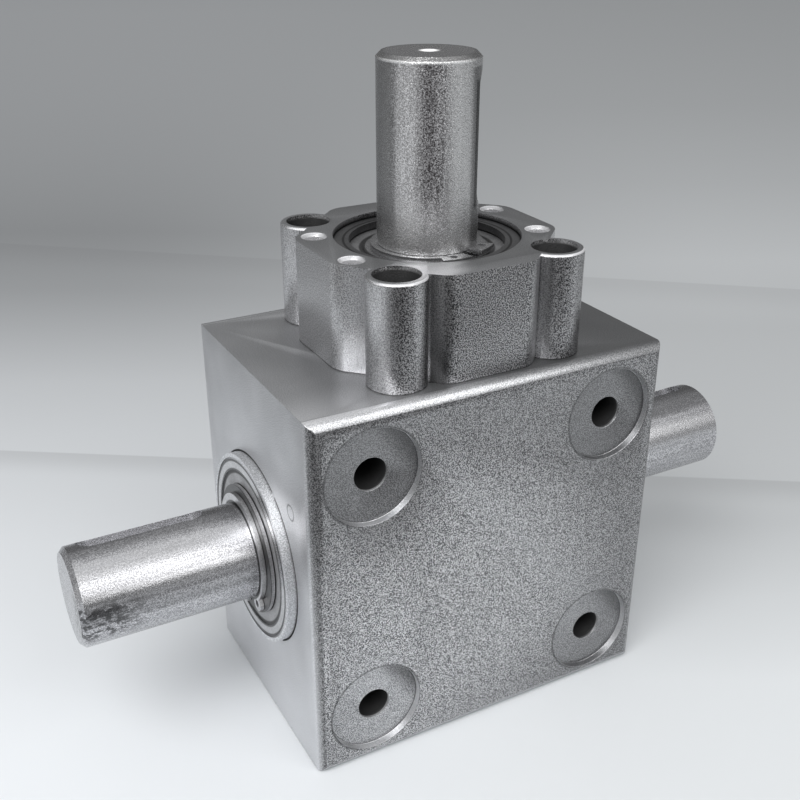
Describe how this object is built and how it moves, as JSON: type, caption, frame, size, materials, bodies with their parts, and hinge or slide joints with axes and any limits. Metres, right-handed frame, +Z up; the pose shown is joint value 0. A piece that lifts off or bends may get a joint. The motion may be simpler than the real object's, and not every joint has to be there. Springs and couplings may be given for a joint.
{
  "type": "right angle gearbox",
  "caption": "Right angle mitre gearbox in a cast box, with a through shaft at both sides and an output shaft standing up from a bolted neck.",
  "frame": {"origin": "centre of the underside of the box, below the crossing of the two shaft axes", "axes": "+X along the through shaft, +Z up along the output shaft, -Y out of the front face with its four holes"},
  "size_m": [0.196, 0.071, 0.169],
  "materials": {
    "casting_paint": "silver hammered paint, coarse on the front and the neck",
    "shaft_steel": "satin ground steel with a thin film of silver spray",
    "screw_steel": "rough painted steel",
    "spring_steel": "satin spring steel",
    "gear_steel": "machined steel",
    "bearing_steel": "ground bearing steel",
    "cage_steel": "pressed steel",
    "seal_rubber": "seal sprayed silver grey"
  },
  "bodies": {
    "gear_case": {"housing": "casting_paint", "neck": "casting_paint", "left_sleeve": "casting_paint", "right_sleeve": "casting_paint", "neck_screws": "screw_steel", "spring_washers": "screw_steel", "bore_ring": "spring_steel", "left_bearing_outer_race": "bearing_steel", "left_bearing_seals": "seal_rubber", "right_bearing_outer_race": "bearing_steel", "right_bearing_seals": "seal_rubber", "upper_bearing_outer_race": "bearing_steel", "upper_bearing_seals": "seal_rubber", "lower_bearing_outer_race": "bearing_steel", "lower_bearing_seals": "seal_rubber"},
    "input_line": {"through_shaft": "shaft_steel", "input_gear": "gear_steel", "input_gear_key": "gear_steel", "input_spacer": "gear_steel", "input_shims": "spring_steel", "input_outer_rings": "spring_steel", "input_inner_rings": "spring_steel", "left_bearing_inner_race": "bearing_steel", "right_bearing_inner_race": "bearing_steel"},
    "output_line": {"output_shaft": "shaft_steel", "output_gear": "gear_steel", "output_gear_key": "gear_steel", "output_spacer": "gear_steel", "output_ring": "spring_steel", "output_gear_ring": "spring_steel", "upper_bearing_inner_race": "bearing_steel", "lower_bearing_inner_race": "bearing_steel"},
    "left_ball_set": {"left_bearing_balls": "bearing_steel", "left_bearing_cage": "cage_steel"},
    "right_ball_set": {"right_bearing_balls": "bearing_steel", "right_bearing_cage": "cage_steel"},
    "upper_ball_set": {"upper_bearing_balls": "bearing_steel", "upper_bearing_cage": "cage_steel"},
    "lower_ball_set": {"lower_bearing_balls": "bearing_steel", "lower_bearing_cage": "cage_steel"}
  },
  "joints": [
    {"name": "input_spin", "type": "hinge", "parent": "gear_case", "child": "input_line", "pos_m": [0, 0, 0.049], "axis": [1, 0, 0], "continuous": true},
    {"name": "output_spin", "type": "hinge", "parent": "gear_case", "child": "output_line", "pos_m": [0, 0, 0.049], "axis": [0, 0, 1], "continuous": true},
    {"name": "left_ball_set_spin", "type": "hinge", "parent": "gear_case", "child": "left_ball_set", "pos_m": [0, 0, 0.049], "axis": [1, 0, 0], "continuous": true},
    {"name": "right_ball_set_spin", "type": "hinge", "parent": "gear_case", "child": "right_ball_set", "pos_m": [0, 0, 0.049], "axis": [1, 0, 0], "continuous": true},
    {"name": "upper_ball_set_spin", "type": "hinge", "parent": "gear_case", "child": "upper_ball_set", "pos_m": [0, 0, 0.049], "axis": [0, 0, 1], "continuous": true},
    {"name": "lower_ball_set_spin", "type": "hinge", "parent": "gear_case", "child": "lower_ball_set", "pos_m": [0, 0, 0.049], "axis": [0, 0, 1], "continuous": true}
  ],
  "couplings": [
    {"joint": "output_spin", "follows": "input_spin", "ratio": 1},
    {"joint": "left_ball_set_spin", "follows": "input_spin", "ratio": 0.413},
    {"joint": "right_ball_set_spin", "follows": "input_spin", "ratio": 0.413},
    {"joint": "upper_ball_set_spin", "follows": "input_spin", "ratio": 0.413},
    {"joint": "lower_ball_set_spin", "follows": "input_spin", "ratio": 0.413}
  ]
}
